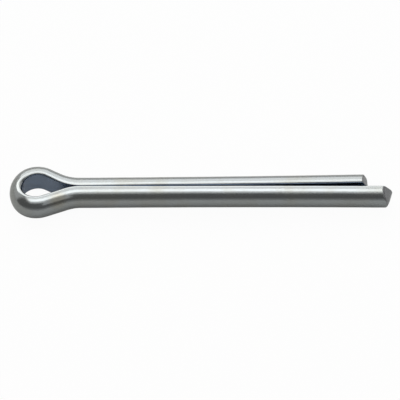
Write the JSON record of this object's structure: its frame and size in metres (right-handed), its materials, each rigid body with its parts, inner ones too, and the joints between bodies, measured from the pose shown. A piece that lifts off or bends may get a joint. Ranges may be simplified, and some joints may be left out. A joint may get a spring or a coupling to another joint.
{
  "type": "cotter pin",
  "caption": "Split cotter pin of folded half-round wire: an oval eye, a round shank split along its length, and one leg longer than the other with wedge-cut tips.",
  "frame": {"origin": "on the axis of the closed shank, where the eye's flank on the long leg's side ends and the straight leg begins", "axes": "+X along the shank from the eye to the tips, +Y across the seam towards the short leg, +Z along the hole of the eye"},
  "size_m": [0.0471, 0.0065, 0.0036],
  "materials": {
    "zinc_plated_steel": "bright zinc plate over drawn mild steel wire, semi-gloss"
  },
  "bodies": {
    "root": {"cotter_pin": "zinc_plated_steel"}
  },
  "joints": []
}
